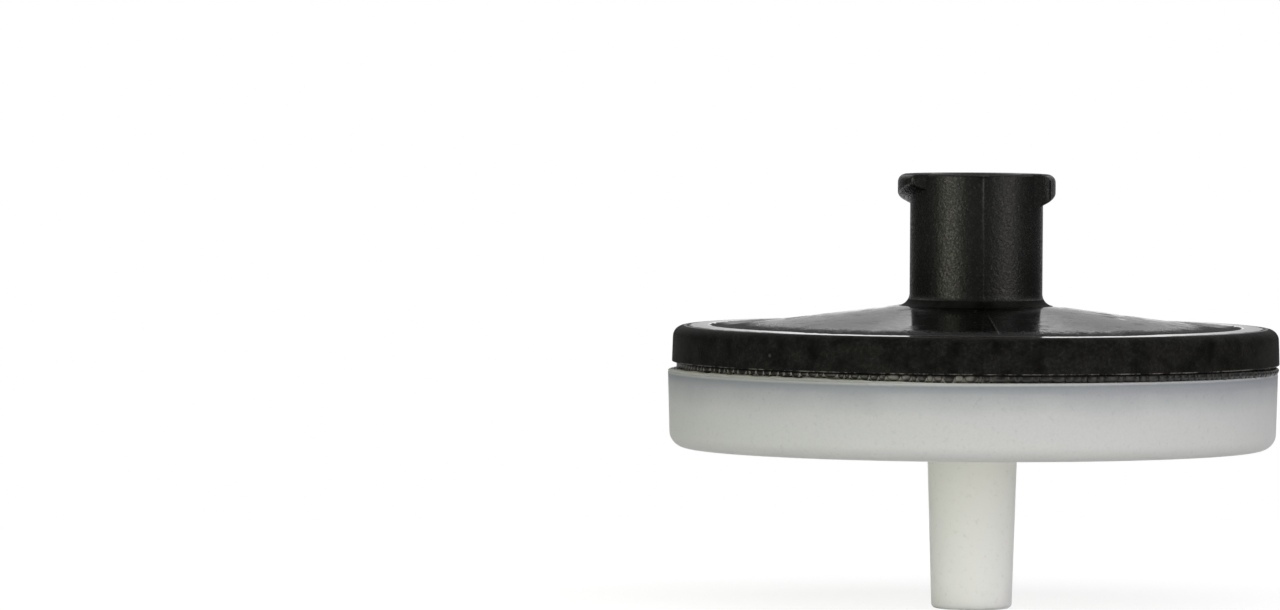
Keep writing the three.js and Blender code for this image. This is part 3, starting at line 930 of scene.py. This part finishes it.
def natural_white():
    """Natural polypropylene: a greyish translucent wall, darker where the black clamp ring is behind it."""
    g = Graph("natural_white")
    cloud = g.noise(2.5, detail=3, seed=1)
    grain = g.noise(0.12, detail=2, seed=3)
    depth = g.math("SUBTRACT", WELD_LEVEL, g.z)
    waver = g.math("MULTIPLY", g.ease(cloud, -0.3, 0.3), g.step(depth, 0.3, 0.8))
    side = g.math("DIVIDE", g.x, g.radius)
    # on the +X side the shift moves the painted lit strip up and narrows it
    narrowing = g.math("MULTIPLY", g.step(side, -0.3, 0.8), g.step(depth, 0.5, 0.2))
    shift = g.math("ADD", waver, g.math("MULTIPLY", narrowing, 0.09))
    colour = ramp(g.tree, g.math("ADD", depth, shift), WALL_COLOURS)
    colour = g.tint(g.step(grain, 0.60, 0.40), colour, (0.975, 0.975, 0.975), mode="MULTIPLY")
    tip = g.step(g.z, DISC_BOTTOM + 0.05, DISC_BOTTOM - 0.05)
    # painted light: the tip is slightly lighter and warmer at its top, which lies in the disc's shadow
    painted_tip_light = g.step(g.z, DISC_BOTTOM, TIP_END + 2.5)
    tip_colour = g.tint(painted_tip_light, (0.94, 0.94, 0.84), (0.93, 0.93, 0.865))
    colour = g.tint(tip, colour, tip_colour)
    mottle = g.noise(0.25, detail=3, rough=0.6, seed=13)
    colour = g.tint(g.step(mottle, 0.45, 0.2), colour, (0.9, 0.9, 0.9), mode="MULTIPLY")
    specks = g.specks(1.6, 0.03, seed=5)
    colour = g.tint(g.math("MULTIPLY", specks, 0.6), colour, (0.10, 0.10, 0.09))
    g.bump((grain, 0.006), (g.noise(1.2, detail=2, seed=8), 0.02))
    return g.finish(Base_Color=colour, Roughness=g.ease(grain, 0.45, 0.58), IOR=1.4,
                    Specular_IOR_Level=0.04, Subsurface_Weight=g.ease(tip, 0.5, 1.0),
                    Subsurface_Radius=(1, 1, 1), Subsurface_Scale=0.0012)


def bead_black():
    """The bead: molten black that froze glossy, with painted highlights on the drops' middles, and the white
    half's material filling the gaps under them."""
    g = Graph("bead_black")
    mix = g.noise(0.6, detail=2, seed=11)
    middle = g.step(g.attribute("crown"), 0.50, 0.80)
    side = g.math("DIVIDE", g.x, g.radius)
    # painted highlights: the drops' middles are pale only in a narrow band of azimuth
    painted_highlight_band = g.math("MULTIPLY", g.step(side, 0.12, -0.02), g.step(side, -0.36, -0.24))
    pale = g.tint(painted_highlight_band, (0.011, 0.0105, 0.0095), (0.125, 0.12, 0.10))
    share = g.math("MULTIPLY", middle, g.step(mix, 0.3, 0.55))
    black = g.tint(share, (0.006, 0.0057, 0.005), pale)
    filled = g.math("MULTIPLY", g.attribute("gap"), g.step(side, 0.15, -0.1))
    colour = g.tint(filled, black, (0.22, 0.21, 0.17))
    g.bump((g.noise(0.06, detail=2, seed=2), 0.012))
    return g.finish(Base_Color=colour, Roughness=g.ease(mix, 0.25, 0.45), IOR=1.45)


def filter_paper():
    """Porous membrane: matt cream with a felt-like surface."""
    g = Graph("filter_paper")
    felt = g.noise(0.08, detail=4, rough=0.7)
    colour = g.tint(felt, (0.78, 0.75, 0.66), (0.88, 0.86, 0.79))
    g.bump((felt, 0.02))
    return g.finish(Base_Color=colour, Roughness=g.ease(felt, 0.85, 0.98))


# ---------------------------------------------------------------- camera, floor, light

CAMERA_PLACE = (0.0, -480.0, 31.12)
CAMERA_LENS = 275.9
CAMERA_YAW = math.radians(1.962)  # to the left, so that the filter stands right of the middle
CAMERA_PITCH = math.radians(-1.956)
CAMERA_ROLL = math.radians(0.36)
FLOOR_RADIUS = 80.0
FLOOR_GAP = 0.01
LAMP_AIM = (0, 0, 12)


def camera():
    """A long lens straight in front, a little above the filter's top and looking slightly down."""
    data = bpy.data.cameras.new("camera")
    data.lens = CAMERA_LENS
    data.clip_start, data.clip_end = 0.01, 10
    made = linked("camera", data)
    made.location = Vector(CAMERA_PLACE) * MM
    upright = Euler((math.pi / 2 + CAMERA_PITCH, 0, CAMERA_YAW)).to_matrix()
    made.rotation_euler = (upright @ Matrix.Rotation(CAMERA_ROLL, 3, "Z")).to_euler()
    bpy.context.scene.camera = made


def soft_lamp(name, azimuth, elevation, distance, size, power, colour):
    """An area lamp aimed at the filter, for its glossy faces only. Azimuth 0 stands with the camera and
    grows to the right."""
    data = bpy.data.lights.new(name, "AREA")
    data.shape = "RECTANGLE"
    data.size, data.size_y = (side * MM for side in size)
    data.energy = power
    data.color = colour
    made = linked(name, data)
    a, e = math.radians(azimuth), math.radians(elevation)
    toward = Vector((math.sin(a) * math.cos(e), -math.cos(a) * math.cos(e), math.sin(e)))
    made.location = (Vector(LAMP_AIM) + toward * distance) * MM
    made.rotation_euler = toward.to_track_quat("Z", "Y").to_euler()
    made.visible_diffuse = False


def lamps():
    soft_lamp("lamp_left", -46, 6, 420, (90, 300), 0.69, (1.0, 0.98, 0.80))
    soft_lamp("lamp_right", 55, 12, 420, (190, 300), 0.49, (1.0, 0.95, 0.93))


def ray_share(tree, *names):
    """1 for rays of the named kinds, such as camera or glossy ones."""
    path = tree.nodes.new("ShaderNodeLightPath")
    total = path.outputs[f"Is {names[0]} Ray"]
    for name in names[1:]:
        total = number(tree, "MAXIMUM", total, path.outputs[f"Is {name} Ray"])
    return total


def background(tree, colour):
    return add_node(tree, "ShaderNodeBackground", Color=colour).outputs[0]


def mixed(tree, amount, first, second):
    """A shader mixed from two."""
    node = tree.nodes.new("ShaderNodeMixShader")
    for socket, value in zip(node.inputs, (amount, first, second)):
        tree.links.new(value, socket)
    return node.outputs[0]


# The white sheet behind the filter, as its glossy faces and clear parts show it: strength over the sine of
# the elevation, over the cosine of the angle from straight behind, and over the sine of the angle to the
# side
SHEET_OVER_ELEVATION = ((-0.10, 0.9), (0.03, 1.0), (0.30, 0.95), (0.40, 0.6), (0.52, 0.3), (0.66, 0.1),
                        (0.86, 0.0))
SHEET_OVER_TURN = ((0.0, 0.0), (0.60, 0.02), (0.86, 0.18), (0.955, 0.9), (1.0, 1.0))
SHEET_OVER_SIDE = ((0.0, 1.0), (0.018, 1.0), (0.031, 0.42), (1.0, 0.40))
SHEET_STRENGTH = 1.34
# The light tent's roof, as they show it, open where the camera looks in: strength over the sine of the
# elevation and over the cosine of the angle from the camera's side. The dark room is what they show
# elsewhere.
ROOF_OVER_ELEVATION = ((0.0, 0.0), (0.25, 0.0), (0.42, 1.0), (0.80, 1.0), (1.0, 0.5))
ROOF_OVER_FRONT = ((-1.0, 1.0), (-0.2, 1.0), (0.5, 0.15), (1.0, 0.03))
ROOF_STRENGTH = 0.8
ROOM_STRENGTH = 0.03
# The tent's soft light on everything else: strength over the cosine of the angle from its brightest part,
# right of the camera and above it, more of it over the cosine of the angle from straight behind, and its
# tint over the sine of the angle to the right, warmer on the left
TENT_AXIS = (0.12, -0.955, 0.27)
TENT_OVER_AXIS = ((-1.0, 0.0), (-0.1, 0.05), (0.3, 0.85), (0.6, 1.5), (1.0, 1.9))
TENT_BEHIND = ((0.84, 0.0), (0.96, 1.8), (1.0, 2.6))
TENT_TINT = ((-1.0, (0.965, 1.0, 0.88)), (1.0, (1.03, 1.0, 1.09)))
WHITE = (1, 1, 1, 1)


def mirrored(tree, x, y, z):
    """What glossy and clear parts show in the direction x, y, z: the sheet, the roof and the dark room."""
    over_elevation = ramp(tree, z, SHEET_OVER_ELEVATION)
    over_turn = ramp(tree, y, SHEET_OVER_TURN)
    over_side = ramp(tree, number(tree, "ABSOLUTE", x), SHEET_OVER_SIDE)
    sheet = product(tree, product(tree, over_elevation, over_turn), over_side)
    # 1.0001 keeps the cosine of the elevation off zero straight up and down
    cosine = number(tree, "SQRT", number(tree, "SUBTRACT", 1.0001, number(tree, "POWER", z, 2.0)))
    frontness = number(tree, "DIVIDE", product(tree, y, -1.0), cosine)
    over_front = ramp(tree, frontness, ROOF_OVER_FRONT)
    roof = product(tree, ramp(tree, z, ROOF_OVER_ELEVATION), over_front)
    darker = number(tree, "MULTIPLY_ADD", roof, ROOF_STRENGTH, ROOM_STRENGTH)
    return number(tree, "MULTIPLY_ADD", sheet, SHEET_STRENGTH, darker)


def tent_light(tree, direction, x, y):
    """The tinted soft light that comes from a direction, whose first parts are x and y."""
    toward = operate(tree.nodes.new("ShaderNodeVectorMath"), "DOT_PRODUCT", (direction, TENT_AXIS))
    over_axis = ramp(tree, toward.outputs["Value"], TENT_OVER_AXIS)
    strength = number(tree, "ADD", over_axis, ramp(tree, y, TENT_BEHIND))
    tinted = add_node(tree, "ShaderNodeVectorMath")
    tinted.operation = "SCALE"
    put(tree, tinted.inputs[0], ramp(tree, x, TENT_TINT))
    put(tree, tinted.inputs["Scale"], strength)
    return tinted.outputs[0]


def world():
    """White where the camera sees it. Glossy and clear parts show the white sheet behind the filter, the
    roof and a dark room, and everything else gets the soft light of the tent."""
    made = bpy.data.worlds.new("studio")
    bpy.context.scene.world = made
    made.use_nodes = True
    tree = made.node_tree
    tree.nodes.clear()
    direction = tree.nodes.new("ShaderNodeTexCoord").outputs["Generated"]
    x, y, z = add_node(tree, "ShaderNodeSeparateXYZ", Vector=direction).outputs
    reflected = background(tree, mirrored(tree, x, y, z))
    soft = background(tree, tent_light(tree, direction, x, y))
    lighting = mixed(tree, ray_share(tree, "Glossy", "Transmission"), soft, reflected)
    surface = mixed(tree, ray_share(tree, "Camera"), lighting, background(tree, WHITE))
    add_node(tree, "ShaderNodeOutputWorld", Surface=surface)


def floor():
    """A pale round table top that melts into the white background and keeps the filter's shadow."""
    shape = bmesh.new()
    bmesh.ops.create_circle(shape, cap_ends=True, segments=96, radius=FLOOR_RADIUS * MM)
    made = object_of("floor", shape)
    made.location.z = (TIP_END - FLOOR_GAP) * MM
    material = bpy.data.materials.new("floor")
    material.use_nodes = True
    tree = material.node_tree
    tree.nodes.clear()
    pale = add_node(tree, "ShaderNodeBsdfDiffuse", Color=(0.8, 0.8, 0.8, 1))
    faint = add_node(tree, "ShaderNodeBsdfDiffuse", Color=(0.3, 0.3, 0.3, 1))
    glow = add_node(tree, "ShaderNodeEmission", Strength=0.8)
    lit = tree.nodes.new("ShaderNodeAddShader")
    tree.links.new(faint.outputs[0], lit.inputs[0])
    tree.links.new(glow.outputs[0], lit.inputs[1])
    shown = ray_share(tree, "Camera", "Glossy", "Transmission")
    add_node(tree, "ShaderNodeOutputMaterial", Surface=mixed(tree, shown, pale.outputs[0], lit.outputs[0]))
    made.data.materials.append(material)


# ---------------------------------------------------------------- assembly

SHARP_ANGLE = math.radians(32)


def shade(body, *materials):
    body.data.materials.clear()
    for material in materials:
        body.data.materials.append(material)
    body.data.shade_smooth()
    body.data.set_sharp_from_angle(angle=SHARP_ANGLE)


def black_at(radius, level):
    """The inlet half's material at a place: 1 on the cone, 2 on the dip, the rim's flat and the hub's top,
    3 on the rim's outside and the hub's foot, and 0 elsewhere."""
    if level < WELD_LEVEL:
        return 0
    if radius > ROUNDING_RADIUS:
        return 3
    on_flat = radius > CONE_FOOT_RADIUS and level > CONE_FOOT_LEVEL - 0.05
    if on_flat or level > HUB_TOP - 0.05:
        return 2
    above = level - min(cone_level(radius), cone_level(HUB_RADIUS))
    on_cone = radius > HUB_RADIUS + 0.005 and level > cone_level(radius) - 0.2
    if on_cone and above < HUB_FOOT_FILLET * 0.42:
        return 1 if radius > HUB_RADIUS + HUB_FOOT_FILLET * 0.8 else 3
    return 0


def split_black(body):
    """Gives each face of the inlet half its material."""
    for polygon in body.data.polygons:
        centre = polygon.center / MM
        polygon.material_index = black_at(math.hypot(centre.x, centre.y), centre.z)


def place(body, node, slot):
    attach(body, "root")
    if node:
        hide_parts(node)


def main():
    scene = bpy.context.scene
    scene.view_settings.view_transform = "Standard"
    camera()
    lamps()
    world()
    floor()
    inlet_body = inlet()
    shade(inlet_body, spark_black(), cone_black(), burnished_black(), rim_black())
    split_black(inlet_body)
    outlet_body = outlet()
    shade(outlet_body, natural_white())
    disc = membrane_disc()
    shade(disc, filter_paper())
    bead = weld_flash()
    shade(bead, bead_black())
    place(inlet_body, "inlet_housing", "black_plastic")
    place(outlet_body, "outlet_housing", "natural_plastic")
    place(disc, "membrane", "membrane")
    place(bead, None, "black_plastic")


main()
